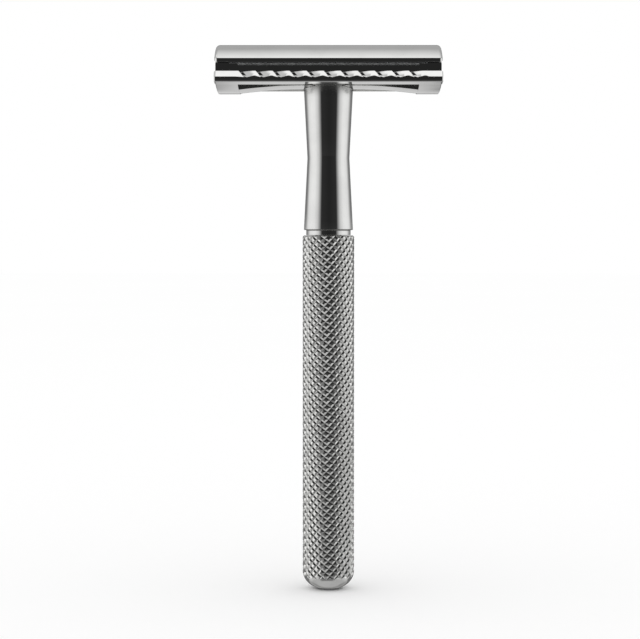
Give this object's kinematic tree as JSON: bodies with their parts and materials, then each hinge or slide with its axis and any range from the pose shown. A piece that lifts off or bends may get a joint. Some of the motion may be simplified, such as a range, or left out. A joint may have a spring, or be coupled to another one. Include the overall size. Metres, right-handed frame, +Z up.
{
  "type": "safety razor",
  "caption": "Double-edge safety razor with a curved cap over a bent blade, scalloped safety bars, a waisted neck and a diamond-knurled grip that unscrews from the head.",
  "frame": {"origin": "middle of the flat at the end of the grip, with the razor standing upright", "axes": "+Z up the handle to the head, X along the cutting edges, Y from one cutting edge to the other"},
  "size_m": [0.043, 0.024, 0.1054],
  "materials": {
    "chrome": "polished plating",
    "knurled_chrome": "plated knurl, slightly satin",
    "blade_steel": "fine ground",
    "stud_steel": "turned",
    "brass": "turned"
  },
  "bodies": {
    "handle": {"grip": "knurled_chrome", "neck": "chrome", "neck_bush": "brass", "joining_stud": "stud_steel"},
    "plate": {"base_plate": "chrome"},
    "blade": {"razor_blade": "blade_steel"},
    "cap": {"top_cap": "chrome", "cap_stud": "stud_steel", "alignment_pin_left": "stud_steel", "alignment_pin_right": "stud_steel"}
  },
  "joints": [
    {"name": "head_turn", "type": "hinge", "parent": "handle", "child": "plate", "pos_m": [0, 0, 0.0975], "axis": [0, 0, 1], "range_deg": [0, 2880]},
    {"name": "cap_lift", "type": "slide", "parent": "plate", "child": "cap", "axis": [0, 0, 1], "range_m": [0, 0.0064]},
    {"name": "blade_lift", "type": "slide", "parent": "plate", "child": "blade", "axis": [0, 0, 1], "range_m": [0, 0.0032]}
  ],
  "couplings": [
    {"joint": "cap_lift", "follows": "head_turn", "m_per_rad": 0.00012732},
    {"joint": "blade_lift", "follows": "head_turn", "m_per_rad": 0.00006366}
  ]
}
